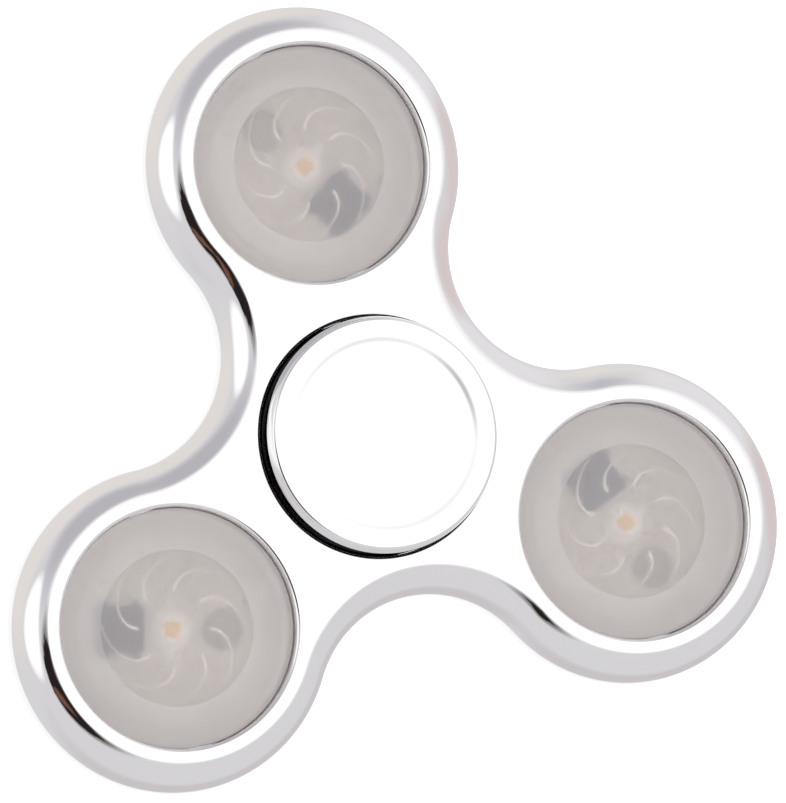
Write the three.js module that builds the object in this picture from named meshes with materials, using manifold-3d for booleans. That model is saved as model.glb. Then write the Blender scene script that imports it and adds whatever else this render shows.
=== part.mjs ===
// Three-lobe fidget spinner with a light module in each lobe.
// Millimetres, +Z up. The spin axis is Z, and z = 0 is the plane that the rear cap's rim rests on.
// One lobe points along +Y; the others follow every 120 degrees.

import * as THREE from "three";
import { mergeVertices } from "three/addons/utils/BufferGeometryUtils.js";
import Module from "manifold-3d";

const wasm = await Module();
wasm.setup();

// Driving dimensions

const GAP = 0.05; // between pieces that touch or are pressed together
const SEAT_GAP = 0.02; // under a piece that is soldered or seated
const OVERSHOOT = 1; // how far a cutter runs past what it cuts
const ROUND_SEGMENTS = 32;
const SMALL_SEGMENTS = 16;

const BODY = {
  bottom: 2.75,
  height: 8,
  lobeDistance: 25.9, // spin axis to lobe centre
  lobeRadius: 15.05,
  waistDistance: 15.1, // spin axis to the nearest point of the waist
  edgeInset: 2.9, // width of the rounded side, seen from above
  edgeBand: 0.1, // height of the flat band at the middle of the rounded side
  edgeSteps: 4,
  arcSteps: 8,
  boreRadius: 11.05,
  boreChamfer: 0.35,
};
const BODY_TOP = BODY.bottom + BODY.height;
const MIDDLE = BODY.bottom + BODY.height / 2;

// A 608 ball bearing
const BEARING = {
  outerRadius: 11,
  boreRadius: 4,
  width: 7,
  pitchRadius: 7.5,
  ballRadius: 3.969 / 2,
  ballCount: 7,
  innerShoulder: 6.05,
  outerShoulder: 9.1,
  sealSeat: 9.85,
  sealSeatDepth: 0.75,
  grooveClearance: 0.1,
  sealRecess: 0.25,
  sealThickness: 0.4,
  sealLipGap: 0.12, // to the inner race
  grooveSteps: 4,
  cageInner: 6.6,
  cageOuter: 8.4,
  cageDepth: 2.4, // from the balls' centre plane down
  cageRise: 1.1, // from the balls' centre plane up
  pocketClearance: 0.14,
};

const CAP = {
  top: 13.5, // rim of the front cap
  topRadius: 10.66,
  edgeFillet: 0.3,
  skirtRadius: 10.95, // the side leans out to this
  skirtBottom: 12.35,
  underside: 12.15,
  undersideRadius: 10.65,
  rimInner: 9.3,
  dishRadius: 8.1,
  dishDepth: 0.12,
  bossRadius: 5.85,
  bossHeight: 0.5,
  stemRadius: 3.95,
  pinRadius: 2,
  socketRadius: 2.1,
  pinTop: 9.15,
  socketTop: 9.55,
};

// One light module, the same in each lobe
const MODULE = {
  bottom: 3.15,
  housingRadius: 10.98,
  housingTop: 8.25,
  innerRadius: 10.2,
  boardLedge: 6.2,
  doorLedge: 4,
  doorPocketRadius: 10.4,
  cellPocketRadius: 8.15,
};
const LENS = {
  top: 9.75,
  thickness: 1.1,
  radius: 11,
  edge: 0.12,
  skirtOuter: 10.1,
  skirtInner: 9.3,
  skirtDrop: 1,
  vaneCount: 8,
  vaneInner: 3.4,
  vaneOuter: 6.9,
  vaneWidth: 0.26,
  vaneDrop: 0.38,
  vaneRoot: 0.1, // how far a vane runs up into the disc
  vaneSweep: -48, // degrees turned from a vane's inner end to its outer end: clockwise, seen from the front
  vaneSteps: 4,
};
const BOARD = { radius: 10.1, bottom: 6.25, thickness: 0.6, notch: 1.2 };
const LED = { flangeRadius: 1.9, flangeHeight: 0.22, radius: 1.5, height: 0.98, shoulder: 0.3 };
const SWITCH = {
  distance: 4.8,
  side: 4.3,
  height: 0.8,
  corner: 0.35,
  wellRadius: 1.15,
  wellDepth: 0.52,
  plungerRadius: 1,
  plungerBottom: 7.5,
  plungerTop: 8.25,
  plungerEdge: 0.12,
};
const CONTROLLER = { distance: 5, radius: 1.9, height: 0.62 };
const CELL = { radius: 8, thickness: 1.6, bottom: 4.25, step: 0.25, faceRadius: 7.2 };
const CONTACT = { length: 7, width: 2.4, thickness: 0.12, rise: 0.22, bend: 1 };
const CLIP = {
  innerRadius: 8.2,
  outerRadius: 8.5,
  halfAngle: 22, // degrees
  clearance: 0.12,
  angleClearance: 2, // degrees
};
const DOOR = { radius: 10.35, thickness: 0.8, slotLength: 12, slotWidth: 1.6, slotDepth: 0.35 };
const SCREW = {
  distance: 9.2,
  headRadius: 0.85,
  headHeight: 0.5,
  shankRadius: 0.42,
  length: 2.4,
  tipLength: 0.2,
  tipRadius: 0.17,
  holeRoom: 0.25, // beyond the tip
  recess: 0.05,
  crossLength: 1,
  crossWidth: 0.24,
  crossDepth: 0.25,
  clearance: 0.1,
};

const LOBES = [
  { letter: "a", angle: 90, moduleTurn: 304 },
  { letter: "b", angle: 210, moduleTurn: 167 },
  { letter: "c", angle: 330, moduleTurn: 112 },
];

// Materials

function material(color, roughness, metalness, opacity = 1) {
  const options = { color, roughness, metalness };
  if (opacity < 1) {
    options.transparent = true;
    options.opacity = opacity;
  }
  return new THREE.MeshStandardMaterial(options);
}

const CHROME = material("#e9e8ea", 0.06, 1);
const STEEL = material("#c4c6c9", 0.25, 1);
const BLACK_STEEL = material("#26272a", 0.35, 1);
const LENS_PLASTIC = material("#c3bcb6", 0.35, 0, 0.9);
const WHITE_PLASTIC = material("#d9d4cd", 0.5, 0);
const BLACK_PLASTIC = material("#23252b", 0.45, 0);
const BLACK_RUBBER = material("#151515", 0.7, 0);
const NYLON = material("#e4dccb", 0.55, 0);
const WHITE_BOARD = material("#d8d8cc", 0.5, 0);
const LED_PLASTIC = material("#f3dca0", 0.2, 0);
const CELL_STEEL = material("#cfd0d2", 0.3, 1);
const BRASS = material("#c9a657", 0.35, 1);

// Geometry helpers

const radians = THREE.MathUtils.degToRad;

function mergedPositions(geometry) {
  const bare = geometry.clone();
  bare.deleteAttribute("normal");
  bare.deleteAttribute("uv");
  return mergeVertices(bare, 1e-4);
}

function toSolid(geometry) {
  const merged = mergedPositions(geometry);
  const mesh = new wasm.Mesh({
    numProp: 3,
    vertProperties: new Float32Array(merged.attributes.position.array),
    triVerts: new Uint32Array(merged.index.array),
  });
  return new wasm.Manifold(mesh);
}

function toGeometry(solid) {
  const mesh = solid.getMesh();
  const geometry = new THREE.BufferGeometry();
  geometry.setAttribute("position", new THREE.BufferAttribute(mesh.vertProperties, 3));
  geometry.setIndex(new THREE.BufferAttribute(mesh.triVerts, 1));
  geometry.computeVertexNormals();
  return geometry;
}

function cut(geometry, ...cutters) {
  let solid = toSolid(geometry);
  for (const cutter of cutters) {
    solid = solid.subtract(toSolid(cutter));
  }
  return toGeometry(solid);
}

function join(geometry, ...others) {
  let solid = toSolid(geometry);
  for (const other of others) {
    solid = solid.add(toSolid(other));
  }
  return toGeometry(solid);
}

// A solid of revolution about Z from [radius, z] points, listed with the outer wall going up.
function revolve(points, segments = ROUND_SEGMENTS) {
  const profile = points.map(([radius, z]) => new THREE.Vector2(radius, z));
  const geometry = new THREE.LatheGeometry(profile, segments);
  geometry.rotateX(Math.PI / 2);
  return mergedPositions(geometry);
}

function cylinder(radius, bottom, top, segments = ROUND_SEGMENTS) {
  return revolve([[0, bottom], [radius, bottom], [radius, top], [0, top]], segments);
}

// A ring whose section is a rectangle.
function ring(inner, outer, bottom, top, segments = ROUND_SEGMENTS) {
  const corners = [[outer, bottom], [outer, top], [inner, top], [inner, bottom], [outer, bottom]];
  return revolve(corners, segments);
}

function box(sizeX, sizeY, bottom, top) {
  const geometry = new THREE.BoxGeometry(sizeX, sizeY, top - bottom);
  geometry.translate(0, 0, (bottom + top) / 2);
  return geometry;
}

function plate(shape, bottom, thickness, curveSegments = 12) {
  const geometry = new THREE.ExtrudeGeometry(shape, { depth: thickness, bevelEnabled: false, curveSegments });
  geometry.translate(0, 0, bottom);
  return geometry;
}

// Points of an arc in the radius-z plane, both ends included.
function profileArc(centreRadius, centreZ, arcRadius, fromDegrees, toDegrees, steps) {
  const points = [];
  for (let i = 0; i <= steps; i += 1) {
    const angle = radians(fromDegrees + ((toDegrees - fromDegrees) * i) / steps);
    points.push([centreRadius + arcRadius * Math.cos(angle), centreZ + arcRadius * Math.sin(angle)]);
  }
  return points;
}

function polar(radius, degrees) {
  return new THREE.Vector2(radius * Math.cos(radians(degrees)), radius * Math.sin(radians(degrees)));
}

// Part of a ring between two radii and two angles.
function ringSector(inner, outer, fromDegrees, toDegrees, bottom, thickness) {
  const shape = new THREE.Shape();
  shape.absarc(0, 0, outer, radians(fromDegrees), radians(toDegrees), false);
  shape.absarc(0, 0, inner, radians(toDegrees), radians(fromDegrees), true);
  return plate(shape, bottom, thickness, 4);
}

// Body: lobes joined by concave waists, each arc tangent to the next, with a fully rounded side

function bodyOutline() {
  const difference = BODY.lobeRadius - BODY.waistDistance;
  const lobe = BODY.lobeDistance;
  const waistCentre = (lobe * lobe - difference * difference) / (lobe + 2 * difference);
  const waistRadius = waistCentre - BODY.waistDistance;
  const outline = new THREE.Shape();
  for (const { angle } of LOBES) {
    const centre = polar(lobe, angle);
    const waistBefore = polar(waistCentre, angle - 60);
    const waistAfter = polar(waistCentre, angle + 60);
    const nextLobe = polar(lobe, angle + 120);
    const start = waistBefore.clone().sub(centre).angle();
    const end = waistAfter.clone().sub(centre).angle();
    outline.absarc(centre.x, centre.y, BODY.lobeRadius, start, end, false);
    const waistStart = centre.clone().sub(waistAfter).angle();
    const waistEnd = nextLobe.clone().sub(waistAfter).angle();
    outline.absarc(waistAfter.x, waistAfter.y, waistRadius, waistStart, waistEnd, true);
  }
  return outline;
}

function boreCutter(centre) {
  const wide = BODY.boreRadius + BODY.boreChamfer;
  const below = BODY.bottom - OVERSHOOT;
  const above = BODY_TOP + OVERSHOOT;
  const cutter = revolve([
    [0, below],
    [wide, below],
    [wide, BODY.bottom],
    [BODY.boreRadius, BODY.bottom + BODY.boreChamfer],
    [BODY.boreRadius, BODY_TOP - BODY.boreChamfer],
    [wide, BODY_TOP],
    [wide, above],
    [0, above],
  ]);
  cutter.translate(centre.x, centre.y, 0);
  return cutter;
}

function bodyGeometry() {
  const edgeHeight = (BODY.height - BODY.edgeBand) / 2;
  const geometry = new THREE.ExtrudeGeometry(bodyOutline(), {
    depth: BODY.edgeBand,
    bevelEnabled: true,
    bevelThickness: edgeHeight,
    bevelSize: BODY.edgeInset,
    bevelOffset: -BODY.edgeInset,
    bevelSegments: BODY.edgeSteps,
    curveSegments: BODY.arcSteps,
  });
  geometry.translate(0, 0, BODY.bottom + edgeHeight);
  const centres = [new THREE.Vector2(0, 0), ...LOBES.map(({ angle }) => polar(BODY.lobeDistance, angle))];
  return cut(geometry, ...centres.map(boreCutter));
}

// Bearing

const BEARING_BOTTOM = MIDDLE - BEARING.width / 2;
const BEARING_TOP = MIDDLE + BEARING.width / 2;

function grooveArc(fromDegrees, toDegrees) {
  const grooveRadius = BEARING.ballRadius + BEARING.grooveClearance;
  return profileArc(BEARING.pitchRadius, MIDDLE, grooveRadius, fromDegrees, toDegrees, BEARING.grooveSteps);
}

// Degrees from the radial direction at which a race's groove meets its shoulder.
function grooveHalfAngle(shoulderRadius) {
  const grooveRadius = BEARING.ballRadius + BEARING.grooveClearance;
  const reach = Math.abs(shoulderRadius - BEARING.pitchRadius);
  return THREE.MathUtils.radToDeg(Math.acos(reach / grooveRadius));
}

function outerRaceGeometry() {
  const half = grooveHalfAngle(BEARING.outerShoulder);
  const points = [
    [BEARING.outerRadius, BEARING_BOTTOM],
    [BEARING.outerRadius, BEARING_TOP],
    [BEARING.sealSeat, BEARING_TOP],
    [BEARING.sealSeat, BEARING_TOP - BEARING.sealSeatDepth],
    [BEARING.outerShoulder, BEARING_TOP - BEARING.sealSeatDepth],
    ...grooveArc(half, -half),
    [BEARING.outerShoulder, BEARING_BOTTOM + BEARING.sealSeatDepth],
    [BEARING.sealSeat, BEARING_BOTTOM + BEARING.sealSeatDepth],
    [BEARING.sealSeat, BEARING_BOTTOM],
    [BEARING.outerRadius, BEARING_BOTTOM],
  ];
  return revolve(points);
}

function innerRaceGeometry() {
  const half = grooveHalfAngle(BEARING.innerShoulder);
  const points = [
    [BEARING.innerShoulder, BEARING_BOTTOM],
    ...grooveArc(180 + half, 180 - half),
    [BEARING.innerShoulder, BEARING_TOP],
    [BEARING.boreRadius, BEARING_TOP],
    [BEARING.boreRadius, BEARING_BOTTOM],
    [BEARING.innerShoulder, BEARING_BOTTOM],
  ];
  return revolve(points);
}

function ballGeometry() {
  return mergedPositions(new THREE.IcosahedronGeometry(BEARING.ballRadius, 2));
}

function cageGeometry() {
  const bottom = MIDDLE - BEARING.cageDepth;
  const top = MIDDLE + BEARING.cageRise;
  const crown = ring(BEARING.cageInner, BEARING.cageOuter, bottom, top);
  const pockets = ballAngles().map((angle) => {
    const radius = BEARING.ballRadius + BEARING.pocketClearance;
    const pocket = new THREE.SphereGeometry(radius, 12, 8);
    const centre = polar(BEARING.pitchRadius, angle);
    pocket.translate(centre.x, centre.y, MIDDLE);
    return pocket;
  });
  return cut(crown, ...pockets);
}

function ballAngles() {
  return Array.from({ length: BEARING.ballCount }, (_, i) => 90 + (360 * i) / BEARING.ballCount);
}

// A seal is held by the outer race and stops just short of the inner race.
function sealGeometry(isFront) {
  const outer = BEARING.sealSeat - GAP;
  const inner = BEARING.innerShoulder + BEARING.sealLipGap;
  const edge = BEARING.sealRecess;
  const bottom = isFront ? BEARING_TOP - edge - BEARING.sealThickness : BEARING_BOTTOM + edge;
  return ring(inner, outer, bottom, bottom + BEARING.sealThickness);
}

// Caps: a shallow dished finger face, a side that leans out, and a boss that bears on the inner race

function capShell(stemPoints) {
  const shoulder = BEARING_TOP + GAP;
  const filletCentre = CAP.topRadius - CAP.edgeFillet;
  return revolve([
    ...stemPoints,
    [CAP.stemRadius, shoulder],
    [CAP.bossRadius, shoulder],
    [CAP.bossRadius, shoulder + CAP.bossHeight],
    [CAP.undersideRadius, CAP.underside],
    [CAP.skirtRadius, CAP.skirtBottom],
    ...profileArc(filletCentre, CAP.top - CAP.edgeFillet, CAP.edgeFillet, 0, 90, 2),
    [CAP.rimInner, CAP.top],
    [CAP.dishRadius, CAP.top - CAP.dishDepth],
    [0, CAP.top - CAP.dishDepth],
  ]);
}

function frontCapGeometry() {
  return capShell([
    [0, CAP.socketTop],
    [CAP.socketRadius, CAP.socketTop],
    [CAP.socketRadius, MIDDLE + GAP],
    [CAP.stemRadius, MIDDLE + GAP],
  ]);
}

// Built facing up like the front cap, with its pin, and then turned over about the X axis.
function rearCapGeometry() {
  const tip = 2 * MIDDLE - CAP.pinTop;
  const geometry = capShell([
    [0, tip],
    [CAP.pinRadius, tip],
    [CAP.pinRadius, MIDDLE + GAP],
    [CAP.stemRadius, MIDDLE + GAP],
  ]);
  geometry.translate(0, 0, -MIDDLE);
  geometry.rotateX(Math.PI);
  geometry.translate(0, 0, MIDDLE);
  return geometry;
}

// Light module, about its own axis, with its switch towards +X

// A curved vane on the lens's underside, sweeping round as it goes out.
function vaneGeometry(startDegrees) {
  const side = (offset) => {
    const points = [];
    for (let i = 0; i <= LENS.vaneSteps; i += 1) {
      const share = i / LENS.vaneSteps;
      const radius = LENS.vaneInner + (LENS.vaneOuter - LENS.vaneInner) * share;
      const turn = LENS.vaneSweep * share * share;
      const across = THREE.MathUtils.radToDeg(offset / radius);
      points.push(polar(radius, startDegrees + turn + across));
    }
    return points;
  };
  const outline = [...side(-LENS.vaneWidth / 2), ...side(LENS.vaneWidth / 2).reverse()];
  const underside = LENS.top - LENS.thickness;
  return plate(new THREE.Shape(outline), underside - LENS.vaneDrop, LENS.vaneDrop + LENS.vaneRoot);
}

function lensGeometry() {
  const underside = LENS.top - LENS.thickness;
  const disc = revolve([
    [0, underside],
    [LENS.skirtInner, underside],
    [LENS.skirtInner, underside - LENS.skirtDrop],
    [LENS.skirtOuter, underside - LENS.skirtDrop],
    [LENS.skirtOuter, underside],
    [LENS.radius, underside],
    [LENS.radius, LENS.top - LENS.edge],
    [LENS.radius - LENS.edge, LENS.top],
    [0, LENS.top],
  ]);
  const vanes = Array.from({ length: LENS.vaneCount }, (_, i) => vaneGeometry((360 * i) / LENS.vaneCount));
  return join(disc, ...vanes);
}

function housingGeometry() {
  const tube = revolve([
    [MODULE.housingRadius, MODULE.bottom],
    [MODULE.housingRadius, MODULE.housingTop],
    [MODULE.innerRadius, MODULE.housingTop],
    [MODULE.innerRadius, MODULE.boardLedge],
    [MODULE.cellPocketRadius, MODULE.boardLedge],
    [MODULE.cellPocketRadius, MODULE.doorLedge],
    [MODULE.doorPocketRadius, MODULE.doorLedge],
    [MODULE.doorPocketRadius, MODULE.bottom],
    [MODULE.housingRadius, MODULE.bottom],
  ]);
  const clipSlot = ringSector(
    MODULE.cellPocketRadius - CLIP.clearance,
    CLIP.outerRadius + CLIP.clearance,
    -CLIP.halfAngle - CLIP.angleClearance,
    CLIP.halfAngle + CLIP.angleClearance,
    MODULE.doorLedge - CLIP.clearance,
    MODULE.boardLedge - MODULE.doorLedge + 2 * CLIP.clearance,
  );
  const screwHole = cylinder(
    SCREW.shankRadius + SCREW.clearance,
    MODULE.doorLedge - OVERSHOOT,
    MODULE.bottom + SCREW.length + SCREW.holeRoom,
    SMALL_SEGMENTS,
  );
  screwHole.translate(-SCREW.distance, 0, 0);
  return cut(tube, clipSlot, screwHole);
}

const BOARD_TOP = BOARD.bottom + BOARD.thickness;
const SOLDERED_BOTTOM = BOARD_TOP + SEAT_GAP;

// A round board with a keying notch at the screw's side.
function boardGeometry() {
  const shape = new THREE.Shape();
  const halfNotch = Math.asin(BOARD.notch / BOARD.radius);
  shape.absarc(0, 0, BOARD.radius, -Math.PI + halfNotch, Math.PI - halfNotch, false);
  shape.lineTo(-BOARD.radius + BOARD.notch, BOARD.notch);
  shape.lineTo(-BOARD.radius + BOARD.notch, -BOARD.notch);
  return plate(shape, BOARD.bottom, BOARD.thickness, 18);
}

function ledGeometry() {
  const flangeTop = SOLDERED_BOTTOM + LED.flangeHeight;
  const top = SOLDERED_BOTTOM + LED.height;
  const points = [
    [0, SOLDERED_BOTTOM],
    [LED.flangeRadius, SOLDERED_BOTTOM],
    [LED.flangeRadius, flangeTop],
    [LED.radius, flangeTop],
    [LED.radius, top - LED.shoulder],
    [LED.radius - LED.shoulder, top],
    [0, top],
  ];
  return revolve(points, SMALL_SEGMENTS);
}

function switchGeometry() {
  const half = SWITCH.side / 2;
  const near = half - SWITCH.corner;
  const corners = [
    [half, -near], [half, near], [near, half], [-near, half],
    [-half, near], [-half, -near], [-near, -half], [near, -half],
  ];
  const shape = new THREE.Shape(corners.map(([x, y]) => new THREE.Vector2(x, y)));
  const top = SOLDERED_BOTTOM + SWITCH.height;
  const well = cylinder(SWITCH.wellRadius, top - SWITCH.wellDepth, top + OVERSHOOT, SMALL_SEGMENTS);
  return cut(plate(shape, SOLDERED_BOTTOM, SWITCH.height), well);
}

function plungerGeometry() {
  const points = [
    [0, SWITCH.plungerBottom],
    [SWITCH.plungerRadius, SWITCH.plungerBottom],
    [SWITCH.plungerRadius, SWITCH.plungerTop - SWITCH.plungerEdge],
    [SWITCH.plungerRadius - SWITCH.plungerEdge, SWITCH.plungerTop],
    [0, SWITCH.plungerTop],
  ];
  return revolve(points, SMALL_SEGMENTS);
}

// The controller under its drop of black resin.
function controllerGeometry() {
  const steps = 3;
  const points = [[0, SOLDERED_BOTTOM]];
  for (let i = 0; i <= steps; i += 1) {
    const share = i / steps;
    const radius = CONTROLLER.radius * Math.sqrt(1 - share * share);
    points.push([radius, SOLDERED_BOTTOM + CONTROLLER.height * share]);
  }
  return revolve(points, SMALL_SEGMENTS);
}

function cellGeometry() {
  const top = CELL.bottom + CELL.thickness;
  const points = [
    [0, CELL.bottom],
    [CELL.radius, CELL.bottom],
    [CELL.radius, top - CELL.step],
    [CELL.faceRadius, top - CELL.step],
    [CELL.faceRadius, top],
    [0, top],
  ];
  return revolve(points, 24);
}

// A leaf that presses on the cell's upper face, bent up at both ends to the board.
function contactGeometry() {
  const half = CONTACT.length / 2;
  const low = CELL.bottom + CELL.thickness + SEAT_GAP;
  const high = low + CONTACT.rise;
  const bend = CONTACT.bend;
  const under = [[-half, high], [-half + bend, high], [-bend, low], [bend, low], [half - bend, high], [half, high]];
  const over = under.map(([x, z]) => [x, z + CONTACT.thickness]).reverse();
  const shape = new THREE.Shape([...under, ...over].map(([x, z]) => new THREE.Vector2(x, z)));
  const geometry = new THREE.ExtrudeGeometry(shape, { depth: CONTACT.width, bevelEnabled: false });
  geometry.rotateX(Math.PI / 2);
  geometry.translate(0, CONTACT.width / 2, 0);
  return geometry;
}

function clipGeometry() {
  const bottom = MODULE.doorLedge + GAP;
  const height = MODULE.boardLedge - bottom - GAP;
  return ringSector(CLIP.innerRadius, CLIP.outerRadius, -CLIP.halfAngle, CLIP.halfAngle, bottom, height);
}

function doorGeometry() {
  const below = MODULE.bottom - OVERSHOOT;
  const top = MODULE.bottom + DOOR.thickness;
  const disc = cylinder(DOOR.radius, MODULE.bottom, top);
  const coinSlot = box(DOOR.slotWidth, DOOR.slotLength, below, MODULE.bottom + DOOR.slotDepth);
  const headSeat = MODULE.bottom + SCREW.recess + SCREW.headHeight + SEAT_GAP;
  const headHole = cylinder(SCREW.headRadius + SCREW.clearance, below, headSeat, SMALL_SEGMENTS);
  headHole.translate(-SCREW.distance, 0, 0);
  const shankHole = cylinder(SCREW.shankRadius + SCREW.clearance, below, top + OVERSHOOT, SMALL_SEGMENTS);
  shankHole.translate(-SCREW.distance, 0, 0);
  return cut(disc, coinSlot, headHole, shankHole);
}

// The screw's head faces down, level with the door's outer face.
function screwGeometry() {
  const face = MODULE.bottom + SCREW.recess;
  const under = face + SCREW.headHeight;
  const points = [
    [0, face],
    [SCREW.headRadius, face],
    [SCREW.headRadius, under],
    [SCREW.shankRadius, under],
    [SCREW.shankRadius, face + SCREW.length - SCREW.tipLength],
    [SCREW.tipRadius, face + SCREW.length],
    [0, face + SCREW.length],
  ];
  const slots = [
    box(SCREW.crossLength, SCREW.crossWidth, face - OVERSHOOT, face + SCREW.crossDepth),
    box(SCREW.crossWidth, SCREW.crossLength, face - OVERSHOOT, face + SCREW.crossDepth),
  ];
  return cut(revolve(points, SMALL_SEGMENTS), ...slots);
}

// Assembly

const spinner = new THREE.Group();

function addPart(parent, name, geometry, look, x = 0, y = 0, z = 0) {
  const mesh = new THREE.Mesh(geometry, look);
  mesh.name = name;
  mesh.position.set(x, y, z);
  parent.add(mesh);
}

addPart(spinner, "frame_body", bodyGeometry(), CHROME);
addPart(spinner, "front_cap", frontCapGeometry(), CHROME);
addPart(spinner, "rear_cap", rearCapGeometry(), CHROME);
addPart(spinner, "bearing_outer_race", outerRaceGeometry(), BLACK_STEEL);
addPart(spinner, "bearing_inner_race", innerRaceGeometry(), STEEL);
addPart(spinner, "bearing_cage", cageGeometry(), NYLON);
addPart(spinner, "bearing_seal_front", sealGeometry(true), BLACK_RUBBER);
addPart(spinner, "bearing_seal_rear", sealGeometry(false), BLACK_RUBBER);
ballAngles().forEach((angle, i) => {
  const centre = polar(BEARING.pitchRadius, angle);
  addPart(spinner, `bearing_ball_${i + 1}`, ballGeometry(), STEEL, centre.x, centre.y, MIDDLE);
});

for (const { letter, angle, moduleTurn } of LOBES) {
  const lightModule = new THREE.Group();
  const centre = polar(BODY.lobeDistance, angle);
  lightModule.position.set(centre.x, centre.y, 0);
  lightModule.rotation.z = radians(moduleTurn);
  addPart(lightModule, `led_lens_${letter}`, lensGeometry(), LENS_PLASTIC);
  addPart(lightModule, `module_housing_${letter}`, housingGeometry(), WHITE_PLASTIC);
  addPart(lightModule, `circuit_board_${letter}`, boardGeometry(), WHITE_BOARD);
  addPart(lightModule, `led_${letter}`, ledGeometry(), LED_PLASTIC);
  addPart(lightModule, `mode_switch_${letter}`, switchGeometry(), BLACK_PLASTIC, SWITCH.distance);
  addPart(lightModule, `switch_plunger_${letter}`, plungerGeometry(), BLACK_PLASTIC, SWITCH.distance);
  addPart(lightModule, `controller_${letter}`, controllerGeometry(), BLACK_PLASTIC, -CONTROLLER.distance);
  addPart(lightModule, `coin_cell_${letter}`, cellGeometry(), CELL_STEEL);
  addPart(lightModule, `battery_contact_${letter}`, contactGeometry(), BRASS);
  addPart(lightModule, `battery_clip_${letter}`, clipGeometry(), BRASS);
  addPart(lightModule, `battery_door_${letter}`, doorGeometry(), WHITE_PLASTIC);
  addPart(lightModule, `battery_door_screw_${letter}`, screwGeometry(), STEEL, -SCREW.distance);
  spinner.add(lightModule);
}

export default spinner;
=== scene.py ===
"""Chrome tri-lobe fidget spinner: fine meshes, materials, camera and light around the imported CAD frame.

Lengths in the tables below are millimetres, in the CAD model's own frame: Z is the spin axis, z = 0 is
the plane that the rear cap's rim rests on, and one lobe points along +Y.
"""

import math

import bpy
from mathutils import Matrix, Vector
from mathutils.geometry import tessellate_polygon


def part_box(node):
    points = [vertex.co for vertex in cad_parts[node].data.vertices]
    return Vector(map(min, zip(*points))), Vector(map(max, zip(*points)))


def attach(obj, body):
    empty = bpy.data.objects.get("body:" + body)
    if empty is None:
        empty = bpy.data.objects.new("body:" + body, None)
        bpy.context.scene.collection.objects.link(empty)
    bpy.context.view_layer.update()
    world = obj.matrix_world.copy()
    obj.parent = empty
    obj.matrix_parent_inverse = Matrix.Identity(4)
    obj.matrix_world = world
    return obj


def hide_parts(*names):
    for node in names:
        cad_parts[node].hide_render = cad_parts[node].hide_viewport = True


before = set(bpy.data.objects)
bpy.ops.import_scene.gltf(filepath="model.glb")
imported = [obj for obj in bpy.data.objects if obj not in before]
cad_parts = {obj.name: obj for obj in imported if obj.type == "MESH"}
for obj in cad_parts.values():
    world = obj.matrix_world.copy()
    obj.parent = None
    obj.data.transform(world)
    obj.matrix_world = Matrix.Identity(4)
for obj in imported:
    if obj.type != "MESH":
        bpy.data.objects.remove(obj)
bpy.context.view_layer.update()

MM = 0.001

# ---------------------------------------------------------------- driving dimensions, from the frame


def span(node, axis):
    """Lowest and highest coordinate of a CAD node along an axis, in millimetres."""
    low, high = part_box(node)
    return low[axis] / MM, high[axis] / MM


BODY_BOTTOM, BODY_TOP = span("frame_body", 2)
CAP_TOP = span("front_cap", 2)[1]
CAP_SKIRT = span("front_cap", 0)[1]
RACE_BOTTOM, RACE_TOP = span("bearing_outer_race", 2)
LENS_TOP = span("led_lens_a", 2)[1]
HOUSING_BOTTOM, HOUSING_TOP = span("module_housing_a", 2)
BOARD_BOTTOM, BOARD_TOP = span("circuit_board_a", 2)
CELL_BOTTOM, CELL_TOP = span("coin_cell_a", 2)
DOOR_BOTTOM, DOOR_TOP = span("battery_door_a", 2)
CLIP_BOTTOM, CLIP_TOP = span("battery_clip_a", 2)
PLUNGER_BOTTOM, PLUNGER_TOP = span("switch_plunger_a", 2)
MIDDLE = (BODY_BOTTOM + BODY_TOP) / 2

LOBE_DISTANCE = 25.9
LOBE_RADIUS = span("frame_body", 1)[1] - LOBE_DISTANCE
WAIST_DISTANCE = 15.1
EDGE_INSET = 2.9
BORE_RADIUS = 11.05
BORE_FILLET = 0.35

LOBES = {"a": (90, 304), "b": (210, 167), "c": (330, 112)}  # lobe angle, and its light module's turn

CAMERA_PLACE = Vector((-0.18533, -0.01705, 0.62712))
CAMERA_TILT = 17.0155  # degrees, about a line in the body's face
CAMERA_TILT_LINE = 109.15
CAMERA_ROLL = 13.112
CAMERA_LENS = 313.83
SENSOR = 36.0

ROUND = 144  # segments round a visible piece
SHARP_ANGLE = 35.0  # degrees: steeper edges are kept crisp

# ---------------------------------------------------------------- camera, first


def make_camera():
    camera = bpy.data.objects.new("camera", bpy.data.cameras.new("camera"))
    bpy.context.scene.collection.objects.link(camera)
    line = Vector((math.cos(math.radians(CAMERA_TILT_LINE)), math.sin(math.radians(CAMERA_TILT_LINE)), 0))
    tilt = Matrix.Rotation(math.radians(CAMERA_TILT), 3, line)
    view = tilt @ Matrix.Rotation(math.radians(CAMERA_ROLL), 3, "Z")
    camera.matrix_world = Matrix.LocRotScale(CAMERA_PLACE, view.transposed(), None)
    camera.data.lens = CAMERA_LENS
    camera.data.sensor_width = SENSOR
    camera.data.clip_start = 0.01
    camera.data.clip_end = 20
    bpy.context.scene.camera = camera


make_camera()

# ---------------------------------------------------------------- mesh helpers


def polar(radius, degrees):
    return radius * math.cos(math.radians(degrees)), radius * math.sin(math.radians(degrees))


def new_object(name, vertices, faces, sharp=SHARP_ANGLE):
    """A smooth-shaded mesh object from millimetre points, with edges over `sharp` degrees kept crisp."""
    mesh = bpy.data.meshes.new(name)
    mesh.from_pydata([Vector(v) * MM for v in vertices], [], faces)
    mesh.update()
    mesh.shade_smooth()
    mesh.set_sharp_from_angle(angle=math.radians(sharp))
    thing = bpy.data.objects.new(name, mesh)
    bpy.context.scene.collection.objects.link(thing)
    return thing


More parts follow.
